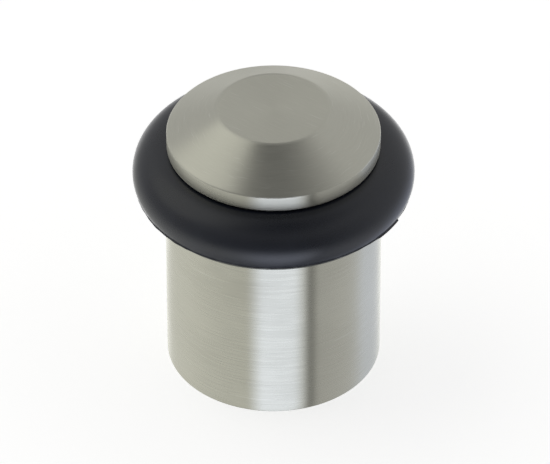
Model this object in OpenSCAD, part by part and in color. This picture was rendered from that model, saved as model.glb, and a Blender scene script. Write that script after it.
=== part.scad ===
// Cylindrical floor door stop: a closed metal tube, a screw-on metal head and a rubber
// buffer ring held between them. The origin is the centre of the base, with +Z up.

/* [Body] */
// Outside diameter of the tube
body_d = 30; // [28:0.5:32]
// Wall thickness of the tube
wall = 1.5; // [1:0.1:2]
// Height of the tube, up to the seat of the buffer ring
body_h = 26.8; // [25:0.1:30]
// Thickness of the plates that close the tube
plate_t = 3; // [2.5:0.1:4]
// Radius of the rounded edges of the tube
edge_r = 0.25; // [0.1:0.05:0.5]

/* [Buffer ring] */
// Outside diameter of the ring
ring_d = 39; // [37:0.5:40]
// Width of the ring's oval section, before the bore for the neck is cut
ring_w = 10; // [10:0.1:10.8]
// Height of the ring
ring_h = 8.5; // [8:0.1:9]
// Thickness of the mould flash that runs round the ring
flash_t = 0.12; // [0.1:0.02:0.2]
// Height of the flash above the ring's surface
flash_h = 0.24; // [0.1:0.02:0.3]

/* [Head] */
// Diameter of the rim
rim_d = 29.5; // [28.5:0.1:30]
// Height of the upright rim
rim_h = 2.4; // [2:0.1:3]
// Diameter across the flat top
flat_d = 15.7; // [14:0.1:18]
// Height of the cone between the rim and the flat top
cone_h = 3.9; // [3:0.1:4.5]
// Diameter of the neck inside the buffer ring
neck_d = 20; // [19.8:0.1:20]
// Blend radius where the cone meets the flat top
crown_r = 1.6; // [1:0.1:2]
// Radius on the two edges of the rim
rim_edge_r = 0.3; // [0.05:0.05:0.4]

/* [Head screw] */
// Outside diameter of the head's stud
stud_d = 6; // [5:1:6]
// Pitch of the stud's thread
stud_pitch = 1; // [0.8:0.1:1]
// Length of the stud
stud_len = 18; // [17:0.5:19]
// Depth of the stud in the head
stud_depth = 8; // [7.5:0.5:8.5]
// Width across the flats of the stud's nut
stud_nut_af = 10; // [9:1:10]
// Height of the stud's nut
stud_nut_h = 5; // [4:0.5:5]

/* [Floor bolt] */
// Core diameter of the thread that takes the floor bolt
bolt_core_d = 6.8; // [6.6:0.1:7]
// Clearance hole for the floor bolt in the base plate
bolt_hole_d = 9; // [8.5:0.1:10]
// Width across the flats of the floor bolt's nut
bolt_nut_af = 13; // [12:1:14]
// Height of the floor bolt's nut
bolt_nut_h = 6.5; // [6:0.5:8]

/* [Spring washer] */
// Outside diameter of the washer
washer_d = 11.8; // [11:0.1:12]
// Thickness of the washer
washer_t = 1.6; // [1.4:0.1:1.8]
// Gap between the washer's two ends
washer_slot = 1; // [0.6:0.1:1.5]

/* [Hidden] */

$fn = 96;
metal = [0.74, 0.73, 0.70];
bright_steel = [0.62, 0.64, 0.66];
rubber = [0.10, 0.11, 0.12];

press_gap = 0.01;      // radial gap drawn at a pressed or welded joint
seat_gap = 0.05;       // gap between the head's neck and the plate that it clamps on
thread_gap = 0.05;     // radial running gap drawn between the stud and its nut
ring_gap = 0.06;       // radial running gap between the ring and the neck
ring_rest_gap = 0.15;  // height of the ring's underside above the tube
ring_top_gap = 0.25;   // gap between the ring and the underside of the rim
plate_chamfer = 0.4;   // lead-in chamfer on the plates' inner edges
over = 1;              // how far a cutter runs past the face it cuts
washer_room = 0.2;     // clearance round the washer in its recess
hex_sides = 6;
section_steps = 60;    // straight steps round the ring's oval section
arc_steps = 8;         // straight steps round a rounded edge
flash_angle = -25;     // the flash lies this far below the ring's widest point

body_r = body_d / 2;
bore_r = body_r - wall;
stud_r = stud_d / 2;
neck_r = neck_d / 2;
rim_r = rim_d / 2;
flat_r = flat_d / 2;
washer_r = washer_d / 2;

ring_half_h = ring_h / 2;
ring_half_w = ring_w / 2;
ring_mid_r = ring_d / 2 - ring_half_w;
ring_mid_z = body_h + ring_rest_gap + ring_half_h;
ring_bore_r = neck_r + ring_gap;

rim_z = ring_mid_z + ring_half_h + ring_top_gap;
cone_z = rim_z + rim_h;
top_z = cone_z + cone_h;
neck_z = body_h + seat_gap;
cone_slope = atan2(cone_h, rim_r - flat_r);
stud_z = neck_z + stud_depth - stud_len;

// Points of an arc round [x, y], from angle a0 to angle a1.
function arc(x, y, r, a0, a1) = [
    for (i = [0 : arc_steps])
        let (a = a0 + (a1 - a0) * i / arc_steps)
            [x + r * cos(a), y + r * sin(a)]
];

// Points of the ring's oval section, all the way round.
function oval(half_w, half_h) = [
    for (i = [0 : section_steps - 1])
        let (a = 360 * i / section_steps)
            [half_w * cos(a), half_h * sin(a)]
];

module turn_cylinder(r, h, z = 0) {
    translate([0, 0, z])
        cylinder(r = r, h = h);
}

module hex_nut(af, h, hole_r, z) {
    corner_r = af / 2 / cos(180 / hex_sides);
    difference() {
        translate([0, 0, z])
            cylinder(r = corner_r, h = h, $fn = hex_sides);
        turn_cylinder(hole_r, h + 2 * over, z - over);
    }
}

// A round plate that closes one end of the tube. The chamfer is on its inner side.
module end_plate(hole_r, z, inner_side_up) {
    r = bore_r - press_gap;
    low_cut = inner_side_up ? 0 : plate_chamfer;
    high_cut = inner_side_up ? plate_chamfer : 0;
    rotate_extrude()
        polygon([
            [hole_r, z], [r - low_cut, z], [r, z + low_cut],
            [r, z + plate_t - high_cut], [r - high_cut, z + plate_t], [hole_r, z + plate_t]
        ]);
}

module body_tube() {
    color(metal)
        rotate_extrude()
            polygon(concat(
                [[bore_r, 0]],
                arc(body_r - edge_r, edge_r, edge_r, -90, 0),
                arc(body_r - edge_r, body_h - edge_r, edge_r, 0, 90),
                [[bore_r, body_h]]
            ));
}

module base_plate() {
    color(bright_steel)
        end_plate(bolt_hole_d / 2, 0, true);
}

module base_nut() {
    color(bright_steel)
        hex_nut(bolt_nut_af, bolt_nut_h, bolt_core_d / 2, plate_t);
}

module top_plate() {
    color(bright_steel)
        end_plate(stud_r + washer_room, body_h - plate_t, false);
}

module head_nut() {
    color(bright_steel)
        hex_nut(stud_nut_af, stud_nut_h, stud_r + thread_gap, body_h - plate_t - stud_nut_h);
}

module rubber_ring() {
    flash_r = ring_half_w * cos(flash_angle);
    flash_z = ring_half_h * sin(flash_angle);
    color(rubber)
        rotate_extrude()
            difference() {
                union() {
                    translate([ring_mid_r, ring_mid_z])
                        polygon(oval(ring_half_w, ring_half_h));
                    translate([ring_mid_r + flash_r - over, ring_mid_z + flash_z - flash_t / 2])
                        square([over + flash_h, flash_t]);
                }
                translate([0, ring_mid_z - ring_h])
                    square([ring_bore_r, 2 * ring_h]);
            }
}

// One turned piece: the neck that fills the ring, the rim, the cone and the flat top.
module head() {
    crown_x = flat_r - crown_r * tan(cone_slope / 2);
    color(metal)
        difference() {
            rotate_extrude()
                polygon(concat(
                    [[0, neck_z], [neck_r, neck_z], [neck_r, rim_z]],
                    arc(rim_r - rim_edge_r, rim_z + rim_edge_r, rim_edge_r, -90, 0),
                    arc(rim_r - rim_edge_r, cone_z - rim_edge_r * tan(45 - cone_slope / 2),
                        rim_edge_r, 0, 90 - cone_slope),
                    arc(crown_x, top_z - crown_r, crown_r, 90 - cone_slope, 90),
                    [[0, top_z]]
                ));
            turn_cylinder(stud_r + press_gap, stud_depth + over, neck_z - over);
            turn_cylinder(washer_r + washer_room, washer_t + over, neck_z - over);
        }
}

module head_stud() {
    tip = stud_r - stud_pitch / 2;
    color(bright_steel)
        rotate_extrude()
            polygon([
                [0, stud_z], [tip, stud_z], [stud_r, stud_z + stud_pitch / 2],
                [stud_r, stud_z + stud_len], [0, stud_z + stud_len]
            ]);
}

module spring_washer() {
    color(bright_steel)
        difference() {
            turn_cylinder(washer_r, washer_t - 2 * seat_gap, neck_z + seat_gap);
            turn_cylinder(stud_r + washer_room, washer_t + 2 * over, neck_z - over);
            translate([0, -washer_slot / 2, neck_z - over])
                cube([washer_r + over, washer_slot, washer_t + 2 * over]);
        }
}

body_tube();
base_plate();
base_nut();
top_plate();
head_nut();
rubber_ring();
head();
head_stud();
spring_washer();
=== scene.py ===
"""Looks for the floor door stop: brushed metal body, black buffer ring and turned head."""

import math

import bpy
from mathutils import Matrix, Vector


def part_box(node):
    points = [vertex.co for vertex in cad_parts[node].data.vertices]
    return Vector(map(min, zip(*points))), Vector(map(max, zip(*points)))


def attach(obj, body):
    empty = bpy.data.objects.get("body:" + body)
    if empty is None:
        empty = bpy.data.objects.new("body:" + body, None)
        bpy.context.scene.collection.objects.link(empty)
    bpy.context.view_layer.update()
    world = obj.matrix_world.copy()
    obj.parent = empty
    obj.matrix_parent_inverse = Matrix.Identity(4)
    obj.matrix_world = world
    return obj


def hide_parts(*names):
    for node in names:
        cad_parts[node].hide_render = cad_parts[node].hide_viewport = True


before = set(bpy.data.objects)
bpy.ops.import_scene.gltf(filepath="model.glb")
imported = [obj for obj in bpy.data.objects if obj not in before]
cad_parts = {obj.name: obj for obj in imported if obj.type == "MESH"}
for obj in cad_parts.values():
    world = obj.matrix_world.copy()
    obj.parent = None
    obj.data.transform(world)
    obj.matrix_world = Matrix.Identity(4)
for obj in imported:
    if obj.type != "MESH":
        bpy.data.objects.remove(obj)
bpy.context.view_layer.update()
MM = 0.001

# ---------------------------------------------------------------- camera
CAMERA_ELEVATION = math.radians(39.2)
CAMERA_DISTANCE = 0.871
LENS_MM = 409.3
AIM = Vector((0.0002, 0.0, 0.02015))


def make_camera():
    data = bpy.data.cameras.new("camera")
    data.lens = LENS_MM
    data.sensor_width = 36.0
    data.sensor_fit = "HORIZONTAL"
    data.clip_start = 0.05
    data.clip_end = 50.0
    camera = bpy.data.objects.new("camera", data)
    bpy.context.scene.collection.objects.link(camera)
    out = Vector((0.0, -math.cos(CAMERA_ELEVATION), math.sin(CAMERA_ELEVATION)))
    camera.location = AIM + out * CAMERA_DISTANCE
    camera.rotation_euler = (-out).to_track_quat("-Z", "Y").to_euler()
    bpy.context.scene.camera = camera


make_camera()

# ---------------------------------------------------------------- sizes, from the frame
tube_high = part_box("body_tube")[1]
ring_low, ring_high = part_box("rubber_ring")
head_low, head_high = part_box("head")
stud_low, stud_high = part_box("head_stud")
washer_low, washer_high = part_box("spring_washer")

TUBE_R = tube_high.x
TUBE_H = tube_high.z
WALL = 1.5 * MM
TUBE_EDGE_R = 0.25 * MM
RIM_R = head_high.x
RIM_EDGE_R = 0.3 * MM
CROWN_R = 1.6 * MM
TOP_Z = head_high.z
CONE_H = 3.9 * MM
RIM_H = 2.4 * MM
FLAT_R = 7.85 * MM
NECK_R = 10.0 * MM
STUD_HOLE_R = 3.01 * MM
STUD_DEPTH = 8.0 * MM
RECESS_R = 6.1 * MM
RECESS_DEPTH = 1.6 * MM
RING_HALF_W = 5.0 * MM
RING_HALF_H = 4.25 * MM
RING_MID_R = ring_high.x - RING_HALF_W
RING_MID_Z = (ring_low.z + ring_high.z) / 2
RING_BORE_R = 10.06 * MM
ROUND_STEPS = 384


# ---------------------------------------------------------------- mesh helpers
def arc(cx, cz, radius, start, end, steps=8):
    """Points of an arc in the (radius, height) plane, angles in degrees."""
    points = []
    for i in range(steps + 1):
        a = math.radians(start + (end - start) * i / steps)
        points.append((cx + radius * math.cos(a), cz + radius * math.sin(a)))
    return points


def line(start, end, steps):
    """Points between start and end, both left out."""
    return [
        (start[0] + (end[0] - start[0]) * i / steps, start[1] + (end[1] - start[1]) * i / steps)
        for i in range(1, steps)
    ]


def add_piece(name, vertices, faces, body, stands_for):
    mesh = bpy.data.meshes.new(name)
    mesh.from_pydata(vertices, [], faces)
    mesh.validate()
    mesh.shade_smooth()
    piece = bpy.data.objects.new(name, mesh)
    bpy.context.scene.collection.objects.link(piece)
    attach(piece, body)
    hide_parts(stands_for)
    return piece


def spot(r, z, angle):
    """A point at a radius and a height; the angle runs from the front to the right."""
    return (r * math.sin(angle), -r * math.cos(angle), z)


def sheet(rows):
    """Vertices and faces of a grid of points. Points that fall together become one vertex."""
    vertices, number_of = [], {}

    def number(point):
        key = tuple(round(v, 8) + 0.0 for v in point)
        if key not in number_of:
            number_of[key] = len(vertices)
            vertices.append(point)
        return number_of[key]

    faces = []
    for low, high in zip(rows, rows[1:]):
        for j in range(len(low) - 1):
            corners = [number(p) for p in (low[j], low[j + 1], high[j + 1], high[j])]
            face = [c for i, c in enumerate(corners) if c != corners[i - 1]]
            if len(set(face)) >= 3:
                faces.append(face)
    return vertices, faces


def round_angles(steps):
    """Angles once round the axis. The last is the first again."""
    return [2 * math.pi * (j % steps) / steps for j in range(steps + 1)]


def lathe(profile, steps=ROUND_STEPS, closed=True, shift=None):
    """Vertices and faces of a profile of (radius, height) points turned about Z.
    shift(angle, index) gives an extra (radius, height) for a point."""
    rows = []
    for k, (r, z) in enumerate(profile):
        row = []
        for angle in round_angles(steps):
            dr, dz = shift(angle, k) if shift else (0.0, 0.0)
            row.append(spot(r + dr, z + dz, angle))
        rows.append(row)
    if closed:
        rows.append(rows[0])
    return sheet(rows)


def crisp(piece, angle=40.0):
    """Hard edges stay hard and flat faces shade flat."""
    piece.data.set_sharp_from_angle(angle=math.radians(angle))
    weighted = piece.modifiers.new("weighted normals", "WEIGHTED_NORMAL")
    weighted.keep_sharp = True
    weighted.weight = 100


# ---------------------------------------------------------------- node helpers
class Nodes:
    """A short way to write a node tree."""

    def __init__(self, tree):
        self.tree = tree
        tree.nodes.clear()

    def add(self, kind, **settings):
        node = self.tree.nodes.new(kind)
        for key, value in settings.items():
            setattr(node, key, value)
        return node

    def put(self, socket, value):
        if isinstance(value, bpy.types.NodeSocket):
            self.tree.links.new(value, socket)
        else:
            socket.default_value = value

    def math(self, operation, a, b=0.0, c=None):
        node = self.add("ShaderNodeMath", operation=operation)
        self.put(node.inputs[0], a)
        self.put(node.inputs[1], b)
        if c is not None:
            self.put(node.inputs[2], c)
        return node.outputs[0]

    def vector(self, operation, a, b=(0.0, 0.0, 0.0)):
        node = self.add("ShaderNodeVectorMath", operation=operation)
        self.put(node.inputs[0], a)
        self.put(node.inputs[1], b)
        return node.outputs["Value"] if operation in ("LENGTH", "DOT_PRODUCT") else node.outputs[0]

    def noise(self, vector, scale, detail=2.0, roughness=0.5):
        node = self.add("ShaderNodeTexNoise")
        self.put(node.inputs["Vector"], vector)
        node.inputs["Scale"].default_value = scale
        node.inputs["Detail"].default_value = detail
        node.inputs["Roughness"].default_value = roughness
        return node.outputs["Fac"]

    def ramp(self, value, stops):
        """stops are (position, level)."""
        node = self.add("ShaderNodeValToRGB")
        ramp = node.color_ramp
        while len(ramp.elements) < len(stops):
            ramp.elements.new(0.5)
        for element, (position, level) in zip(ramp.elements, stops):
            element.position = position
            element.color = (level, level, level, 1.0)
        self.put(node.inputs["Fac"], value)
        return node.outputs["Color"]

    def remap(self, value, low, high, to_low, to_high):
        node = self.add("ShaderNodeMapRange")
        for name, number in zip(("From Min", "From Max", "To Min", "To Max"), (low, high, to_low, to_high)):
            node.inputs[name].default_value = number
        self.put(node.inputs["Value"], value)
        return node.outputs["Result"]

    def mix(self, factor, a, b, blend="MIX"):
        node = self.add("ShaderNodeMix", data_type="RGBA", blend_type=blend)
        self.put(node.inputs["Factor"], factor)
        self.put(node.inputs["A"], a)
        self.put(node.inputs["B"], b)
        return node.outputs["Result"]

    def combine(self, x, y, z):
        node = self.add("ShaderNodeCombineXYZ")
        for socket, value in zip(node.inputs, (x, y, z)):
            self.put(socket, value)
        return node.outputs[0]

    def bump(self, height, distance, strength):
        node = self.add("ShaderNodeBump")
        node.inputs["Distance"].default_value = distance
        node.inputs["Strength"].default_value = strength
        self.put(node.inputs["Height"], height)
        return node.outputs[0]


def new_material(name):
    material = bpy.data.materials.new(name)
    material.use_nodes = True
    nodes = Nodes(material.node_tree)
    shader = nodes.add("ShaderNodeBsdfPrincipled")
    output = nodes.add("ShaderNodeOutputMaterial")
    material.node_tree.links.new(shader.outputs[0], output.inputs["Surface"])
    position = nodes.add("ShaderNodeTexCoord").outputs["Object"]
    return material, nodes, shader, position


def colour(r, g, b):
    return (r, g, b, 1.0)


# ---------------------------------------------------------------- materials
METAL = colour(0.69, 0.685, 0.60)
METAL_DARK = colour(0.64, 0.636, 0.555)
METAL_SCRATCH = colour(0.75, 0.745, 0.67)


def brushed(name, grain, tangent, roughness, anisotropy, relief=0.6):
    """Brushed metal. grain(nodes, position, fineness) is the space in which the brush lines run flat:
    noise is fine along its Z. tangent(nodes, position) points across the brush lines."""
    material, nodes, shader, position = new_material(name)
    fine = nodes.noise(grain(nodes, position, 14000.0), 1.0, detail=3.0, roughness=0.6)
    coarse = nodes.noise(grain(nodes, position, 3200.0), 1.0, detail=2.0, roughness=0.6)
    streak = nodes.noise(grain(nodes, position, 7000.0), 1.0, detail=1.0)
    cloud = nodes.noise(position, 90.0, detail=3.0)
    level = nodes.math("ADD", nodes.math("MULTIPLY", fine, 0.5), nodes.math("MULTIPLY", coarse, 0.5))
    scratch = nodes.remap(streak, 0.68, 0.74, 0.0, 1.0)
    shade = nodes.remap(level, 0.32, 0.66, 0.0, 1.0)
    tint = nodes.mix(shade, METAL_DARK, METAL)
    nodes.put(shader.inputs["Base Color"], nodes.mix(scratch, tint, METAL_SCRATCH))
    wear = nodes.math("ADD", nodes.remap(coarse, 0.3, 0.7, -0.025, 0.025),
                      nodes.remap(cloud, 0.3, 0.7, -0.02, 0.02))
    nodes.put(shader.inputs["Roughness"], nodes.math("ADD", wear, roughness))
    nodes.put(shader.inputs["Normal"], nodes.bump(level, 0.006 * MM, relief))
    nodes.put(shader.inputs["Tangent"], tangent(nodes, position))
    shader.inputs["Metallic"].default_value = 1.0
    shader.inputs["Anisotropic"].default_value = anisotropy
    return material


def around_lines(nodes, position, fineness):
    """Brush lines that run round the axis on an upright wall."""
    return nodes.vector("MULTIPLY", position, (150.0, 150.0, fineness))


def circle_lines(nodes, position, fineness):
    """Brush lines that run round a face that slopes to the axis, a little unevenly."""
    flat = nodes.vector("MULTIPLY", position, (1.0, 1.0, 0.0))
    way = nodes.vector("MULTIPLY", nodes.vector("NORMALIZE", flat), (3.5, 3.5, 0.0))
    uneven = nodes.math("MULTIPLY", nodes.noise(position, 260.0), 0.0012)
    distance = nodes.math("MULTIPLY", nodes.math("ADD", nodes.vector("LENGTH", flat), uneven), fineness)
    return nodes.vector("ADD", way, nodes.combine(0.0, 0.0, distance))


def straight_lines(nodes, position, fineness):
    """Fine straight brush lines across a flat face."""
    turn = nodes.add("ShaderNodeVectorRotate", rotation_type="Z_AXIS")
    nodes.put(turn.inputs["Vector"], position)
    turn.inputs["Angle"].default_value = math.radians(35.0)
    part = nodes.add("ShaderNodeSeparateXYZ")
    nodes.put(part.inputs[0], turn.outputs[0])
    along = nodes.math("MULTIPLY", part.outputs[0], 250.0)
    across = nodes.math("MULTIPLY", part.outputs[1], fineness)
    return nodes.combine(along, 0.0, across)


def upright(nodes, position):
    return nodes.combine(0.0, 0.0, 1.0)


def outward(nodes, position):
    return nodes.vector("NORMALIZE", nodes.vector("MULTIPLY", position, (1.0, 1.0, 0.0)))


tube_metal = brushed("tube_brushed", around_lines, upright, 0.27, 1.0, 0.28)
rim_metal = brushed("rim_brushed", around_lines, upright, 0.29, 0.95, 0.05)
cone_metal = brushed("cone_brushed", circle_lines, outward, 0.34, 0.92, 1.0)
flat_metal = brushed("flat_brushed", straight_lines, outward, 0.42, 0.2)
hidden_metal = brushed("turned_inside", circle_lines, outward, 0.4, 0.3)


def make_rubber():
    material, nodes, shader, position = new_material("buffer_rubber")
    cloud = nodes.noise(position, 140.0, detail=4.0)
    grain = nodes.noise(position, 5200.0, detail=2.0)
    nodes.put(shader.inputs["Base Color"],
              nodes.mix(nodes.remap(cloud, 0.35, 0.65, 0.0, 1.0),
                        colour(0.010, 0.0125, 0.021), colour(0.0135, 0.0168, 0.027)))
    nodes.put(shader.inputs["Roughness"], nodes.math("ADD", nodes.remap(cloud, 0.3, 0.7, 0.27, 0.36),
                                                     nodes.remap(grain, 0.3, 0.7, -0.03, 0.03)))
    nodes.put(shader.inputs["Normal"], nodes.bump(grain, 0.01 * MM, 0.3))
    shader.inputs["Specular IOR Level"].default_value = 0.65
    return material


rubber = make_rubber()


def make_steel(name, tint, low, roughness):
    material, nodes, shader, position = new_material(name)
    cloud = nodes.noise(position, 400.0, detail=4.0)
    pits = nodes.noise(position, 2600.0, detail=3.0)
    nodes.put(shader.inputs["Base Color"], nodes.mix(nodes.remap(cloud, 0.3, 0.7, 0.0, 1.0), low, tint))
    nodes.put(shader.inputs["Roughness"], nodes.remap(cloud, 0.3, 0.7, roughness - 0.06, roughness + 0.06))
    nodes.put(shader.inputs["Normal"], nodes.bump(pits, 0.006 * MM, 0.6))
    shader.inputs["Metallic"].default_value = 1.0
    return material


plate_steel = make_steel("plate_steel", colour(0.56, 0.57, 0.58), colour(0.44, 0.45, 0.46), 0.42)
zinc_steel = make_steel("zinc_steel", colour(0.66, 0.67, 0.70), colour(0.56, 0.57, 0.58), 0.3)
spring_steel = make_steel("spring_steel", colour(0.24, 0.24, 0.25), colour(0.16, 0.16, 0.17), 0.4)


# ---------------------------------------------------------------- body tube
def make_tube():
    e = TUBE_EDGE_R
    bore = TUBE_R - WALL
    outer = [(TUBE_R, e), *line((TUBE_R, e), (TUBE_R, TUBE_H - e), 24), (TUBE_R, TUBE_H - e)]
    profile = [(bore, 0.0), *arc(TUBE_R - e, e, e, -90, 0)[:-1], *outer,
               *arc(TUBE_R - e, TUBE_H - e, e, 0, 90)[1:], (bore, TUBE_H)]
    vertices, faces = lathe(profile)
    piece = add_piece("tube_shell", vertices, faces, "floor_body", "body_tube")
    piece.data.materials.append(tube_metal)
    crisp(piece)


# ---------------------------------------------------------------- buffer ring
FLASH_ANGLE = -25.0
FLASH_HEIGHT = 0.24 * MM
FLASH_HALF = 0.05 * MM
NIB_ANGLE = math.radians(63.0)
NIB_LENGTH = math.radians(16.0)
TORN_LENGTH = math.radians(9.0)


def flash_shape(angle):
    """How much of the flash is left at an angle round the ring. It is ragged, and it thickens
    up to the nib, where it is torn off short."""
    ragged = 0.55 + 0.14 * math.sin(7 * angle + 1.0) + 0.08 * math.sin(23 * angle)
    ragged += 0.06 * math.sin(57 * angle + 2.0)
    past = (angle - NIB_ANGLE + math.pi) % (2 * math.pi) - math.pi
    if 0.0 < past < TORN_LENGTH:
        return 0.1 + 0.4 * past / TORN_LENGTH
    return min(1.0, ragged + max(0.0, 1.0 + past / NIB_LENGTH)) if past <= 0.0 else ragged


def make_ring():
    section_steps = 96
    profile, flash_rows = [], {}
    start = math.degrees(math.acos((RING_BORE_R - RING_MID_R) / RING_HALF_W))
    for i in range(section_steps + 1):
        a = -start + 2 * start * i / section_steps
        profile.append((math.radians(a), 0.0))
    flash = math.radians(FLASH_ANGLE)
    thin = FLASH_HALF / RING_HALF_H
    profile = [p for p in profile if abs(p[0] - flash) > 2.2 * thin]
    profile += [(flash - 1.8 * thin, 0.0), (flash - thin, 0.25), (flash - 0.5 * thin, 1.0),
                (flash + 0.5 * thin, 1.0), (flash + thin, 0.25), (flash + 1.8 * thin, 0.0)]
    profile.sort()
    points = []
    for k, (a, lift) in enumerate(profile):
        points.append((RING_MID_R + RING_HALF_W * math.cos(a), RING_MID_Z + RING_HALF_H * math.sin(a)))
        if lift:
            flash_rows[k] = lift

    def shift(angle, k):
        lift = flash_rows.get(k, 0.0) * FLASH_HEIGHT * flash_shape(angle)
        return lift * math.cos(flash), lift * math.sin(flash)

    low, high = points[0], points[-1]
    points += line(high, low, 6)
    vertices, faces = lathe(points, steps=720, shift=shift)
    piece = add_piece("buffer_ring", vertices, faces, "buffer", "rubber_ring")
    piece.data.materials.append(rubber)
    crisp(piece, 55.0)


# ---------------------------------------------------------------- head
def make_head():
    slope = math.atan2(CONE_H, RIM_R - FLAT_R)
    cone_z = TOP_Z - CONE_H
    rim_z = cone_z - RIM_H
    e = RIM_EDGE_R
    crown = CROWN_R
    tilt = 90 - math.degrees(slope)
    stud_end = head_low.z + STUD_DEPTH
    recess_end = head_low.z + RECESS_DEPTH
    under = [(0.0, stud_end), (STUD_HOLE_R, stud_end), (STUD_HOLE_R, recess_end),
             (RECESS_R, recess_end), (RECESS_R, head_low.z), (NECK_R, head_low.z)]
    shoulder = [(NECK_R, rim_z), *arc(RIM_R - e, rim_z + e, e, -90, 0)]
    rim_top = arc(RIM_R - e, cone_z - e * math.tan(math.radians(45) - slope / 2), e, 0, tilt)
    crown_arc = arc(FLAT_R - crown * math.tan(slope / 2), TOP_Z - crown, crown, tilt, 90)
    cone = line(rim_top[-1], crown_arc[0], 16)
    top = line(crown_arc[-1], (0.0, TOP_Z), 8)
    profile = [*under, *shoulder, *rim_top, *cone, *crown_arc, *top, (0.0, TOP_Z)]
    vertices, faces = lathe(profile, closed=False)
    piece = add_piece("turned_head", vertices, faces, "screw_head", "head")
    for material in (hidden_metal, rim_metal, cone_metal, flat_metal):
        piece.data.materials.append(material)
    for polygon in piece.data.polygons:
        r = math.hypot(polygon.center.x, polygon.center.y)
        if polygon.center.z < rim_z + 1e-6:
            polygon.material_index = 0
        elif polygon.center.z < cone_z - 1e-5:
            polygon.material_index = 1
        elif r > FLAT_R - 0.2 * MM:
            polygon.material_index = 2
        else:
            polygon.material_index = 3
    crisp(piece)


# ---------------------------------------------------------------- plates
def make_plate(name, stands_for, hole_r):
    """A round end plate with broken edges."""
    low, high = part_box(stands_for)
    r = high.x
    e = 0.2 * MM
    profile = [(hole_r, low.z + e), (hole_r + e, low.z), *line((hole_r + e, low.z), (r - e, low.z), 8),
               (r - e, low.z), (r, low.z + e), (r, high.z - e), (r - e, high.z),
               *line((r - e, high.z), (hole_r + e, high.z), 8), (hole_r + e, high.z), (hole_r, high.z - e)]
    vertices, faces = lathe(profile, steps=192)
    piece = add_piece(name, vertices, faces, "floor_body", stands_for)
    piece.data.materials.append(plate_steel)
    crisp(piece, 25.0)


# ---------------------------------------------------------------- threads and nuts
# One turn of a thread, as (part of the pitch, part of the depth).
THREAD_TURN = ((0.0, 0.0), (0.25, 0.0), (0.56, 1.0), (0.69, 1.0))
THREAD_STEPS = 96


def thread_rows(valley_r, peak_r, low, high, pitch, end_r):
    """Rows of points up a right-hand thread. It runs out to end_r at both ends."""
    rows = []
    for turn in range(math.floor(low / pitch) - 1, math.ceil(high / pitch) + 1):
        for part, level in THREAD_TURN:
            full = valley_r + (peak_r - valley_r) * level
            row = []
            for j, angle in enumerate(round_angles(THREAD_STEPS)):
                z = min(max(pitch * (turn + part + j / THREAD_STEPS), low), high)
                run_out = min(z - low, high - z)
                r = min(full, end_r + run_out) if end_r <= valley_r else max(full, end_r - run_out)
                row.append(spot(r, z, angle))
            rows.append(row)
    return rows


def flat_row(r, z):
    return [spot(r, z, angle) for angle in round_angles(THREAD_STEPS)]


def make_stud():
    pitch = 1.0 * MM
    valley = stud_high.x - 0.6 * pitch
    rows = [flat_row(0.0, stud_low.z)]
    rows += thread_rows(valley, stud_high.x, stud_low.z, stud_high.z, pitch, valley)
    rows.append(flat_row(0.0, stud_high.z))
    vertices, faces = sheet(rows)
    piece = add_piece("threaded_stud", vertices, faces, "screw_head", "head_stud")
    piece.data.materials.append(zinc_steel)
    crisp(piece, 25.0)


def make_nut(name, stands_for, pitch, small_r, large_r):
    """A hexagon nut with chamfered corners and a thread in its hole."""
    low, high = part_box(stands_for)
    half_flats = high.y
    chamfer_r = 0.95 * half_flats
    end_r = large_r + 0.1 * MM

    def hex_row(z, way):
        row = []
        for angle in round_angles(THREAD_STEPS):
            turn = (angle + math.pi / 6) % (math.pi / 3) - math.pi / 6
            r = half_flats / math.cos(turn)
            row.append(spot(r, z + way * (r - chamfer_r) * math.tan(math.radians(30)), angle))
        return row

    rows = [flat_row(end_r, low.z), flat_row(chamfer_r, low.z), hex_row(low.z, 1), hex_row(high.z, -1),
            flat_row(chamfer_r, high.z)]
    rows += reversed(thread_rows(small_r, large_r, low.z, high.z, pitch, end_r))
    vertices, faces = sheet(rows)
    piece = add_piece(name, vertices, faces, "floor_body", stands_for)
    piece.data.materials.append(zinc_steel)
    crisp(piece, 25.0)


# ---------------------------------------------------------------- spring washer
def make_washer():
    """A split ring whose two ends are cut on a slant."""
    hole_r = stud_high.x + 0.2 * MM
    outer_r = washer_high.x
    e = 0.2 * MM
    low, high = washer_low.z, washer_high.z
    middle = ((hole_r + outer_r) / 2, (low + high) / 2)
    section = [*arc(outer_r - e, low + e, e, -90, 0, 4), *arc(outer_r - e, high - e, e, 0, 90, 4),
               *arc(hole_r + e, high - e, e, 90, 180, 4), *arc(hole_r + e, low + e, e, 180, 270, 4)]
    half_slot = 0.5 * MM
    steps = 120

    def angles(r, z):
        start = math.pi / 2 + half_slot / r + (z - middle[1]) * 0.3 / r
        sweep = 2 * math.pi - 2 * half_slot / r
        return [start + sweep * j / steps for j in range(steps + 1)]

    ends = angles(*middle)
    rows = []
    for r, z in section + section[:1]:
        row = [spot(r, z, angle) for angle in angles(r, z)]
        rows.append([spot(*middle, ends[0]), *row, spot(*middle, ends[-1])])
    vertices, faces = sheet(rows)
    piece = add_piece("lock_washer", vertices, faces, "screw_head", "spring_washer")
    piece.data.materials.append(spring_steel)
    crisp(piece, 30.0)


make_tube()
make_ring()
make_head()
make_plate("base_disc", "base_plate", 4.5 * MM)
make_plate("top_disc", "top_plate", 3.2 * MM)
make_nut("base_hex_nut", "base_nut", 1.25 * MM, 3.4 * MM, 4.0 * MM)
make_nut("head_hex_nut", "head_nut", 1.0 * MM, 2.5 * MM, 3.05 * MM)
make_stud()
make_washer()


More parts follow.
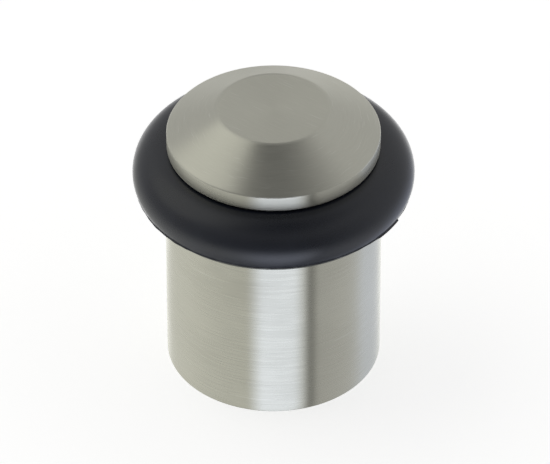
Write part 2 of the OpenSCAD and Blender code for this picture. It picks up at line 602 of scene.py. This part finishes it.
# ---------------------------------------------------------------- floor and light
def make_floor():
    half = 4.0
    z = -0.02 * MM
    corners = [(-half, -half, z), (half, -half, z), (half, half, z), (-half, half, z)]
    mesh = bpy.data.meshes.new("floor")
    mesh.from_pydata(corners, [], [(0, 1, 2, 3)])
    floor = bpy.data.objects.new("floor", mesh)
    bpy.context.scene.collection.objects.link(floor)
    material, nodes, shader, position = new_material("floor_paper")
    cloud = nodes.noise(position, 3.0)
    nodes.put(shader.inputs["Base Color"],
              nodes.mix(cloud, colour(0.86, 0.86, 0.86), colour(0.88, 0.88, 0.88)))
    shader.inputs["Roughness"].default_value = 0.9
    shader.inputs["Specular IOR Level"].default_value = 0.1
    shader.inputs["Emission Color"].default_value = colour(1.0, 1.0, 1.0)
    shader.inputs["Emission Strength"].default_value = 0.66
    mesh.materials.append(material)
    floor.visible_glossy = False


NEUTRAL = (1.0, 1.0, 1.0)
WARM = (1.0, 1.0, 0.95)
BLUE = (0.95, 1.0, 1.15)

# A plain light tent. Angles are in degrees to the right of the front.
WALL_LIGHT = 0.8
# What hangs on its wall: (first angle, last angle, softness of the edges, brightness, tint).
PANELS = [
    (-20, 30, 15, 1.6, BLUE),
    (35, 45, 5, 0.2, NEUTRAL),
    (45, 100, 5, 0.6, NEUTRAL),
    (100, 150, 5, 0.8, BLUE),
    (150, 210, 15, 1.6, NEUTRAL),
]
# Its roof, as (height from 0 at the horizon to 1 overhead, brightness): the opening overhead is dim.
ROOF = [(0.0, 0.5), (0.8, 0.5), (1.0, 0.1)]
# A round softbox in the roof.
SOFTBOX_AZIMUTH = -110
SOFTBOX_ELEVATION = 50
SOFTBOX_INNER = 20
SOFTBOX_OUTER = 30
SOFTBOX_LIGHT = 0.8


def toward(azimuth, elevation):
    """A direction, from degrees to the right of the front and degrees above the horizon."""
    return Vector(spot(math.cos(math.radians(elevation)), math.sin(math.radians(elevation)),
                       math.radians(azimuth)))


def lit(level, tint):
    return colour(*(level * t for t in tint))


def make_world():
    world = bpy.data.worlds.new("tent")
    bpy.context.scene.world = world
    world.use_nodes = True
    nodes = Nodes(world.node_tree)
    way = nodes.add("ShaderNodeTexCoord").outputs["Generated"]
    part = nodes.add("ShaderNodeSeparateXYZ")
    nodes.put(part.inputs[0], way)
    x, y, z = part.outputs
    azimuth = nodes.math("ARCTAN2", x, nodes.math("MULTIPLY", y, -1.0))
    wall = lit(WALL_LIGHT, WARM)
    for first, last, softness, level, tint in PANELS:
        middle, half, soft = (math.radians(v) for v in ((first + last) / 2, (last - first) / 2, softness))
        turn = nodes.math("WRAP", nodes.math("SUBTRACT", azimuth, middle), math.pi, -math.pi)
        shown = nodes.remap(nodes.math("ABSOLUTE", turn), half - soft / 2, half + soft / 2, 1.0, 0.0)
        wall = nodes.mix(shown, wall, lit(level, tint))
    # The wall is darker near the ground under the stop.
    foot = nodes.remap(z, -1.0, -0.7, 0.25, 1.0)
    wall = nodes.mix(1.0, wall, nodes.combine(foot, foot, foot), "MULTIPLY")
    # The roof is darker towards the front, where the tent is open for the camera.
    shade = nodes.remap(y, -0.9, 0.0, 0.3, 1.0)
    roof = nodes.mix(1.0, nodes.ramp(z, ROOF), nodes.combine(shade, shade, shade), "MULTIPLY")
    sky = nodes.mix(nodes.remap(z, -0.45, 0.0, 0.0, 1.0), wall, roof)
    inside = nodes.vector("DOT_PRODUCT", way, toward(SOFTBOX_AZIMUTH, SOFTBOX_ELEVATION))
    softbox = nodes.remap(inside, math.cos(math.radians(SOFTBOX_OUTER)),
                          math.cos(math.radians(SOFTBOX_INNER)), 0.0, 1.0)
    sky = nodes.mix(softbox, sky, lit(SOFTBOX_LIGHT, WARM))
    background = nodes.add("ShaderNodeBackground")
    nodes.put(background.inputs["Color"], sky)
    background.inputs["Strength"].default_value = 1.0
    output = nodes.add("ShaderNodeOutputWorld")
    nodes.tree.links.new(background.outputs[0], output.inputs["Surface"])


make_floor()
make_world()
bpy.context.scene.view_settings.view_transform = "Standard"
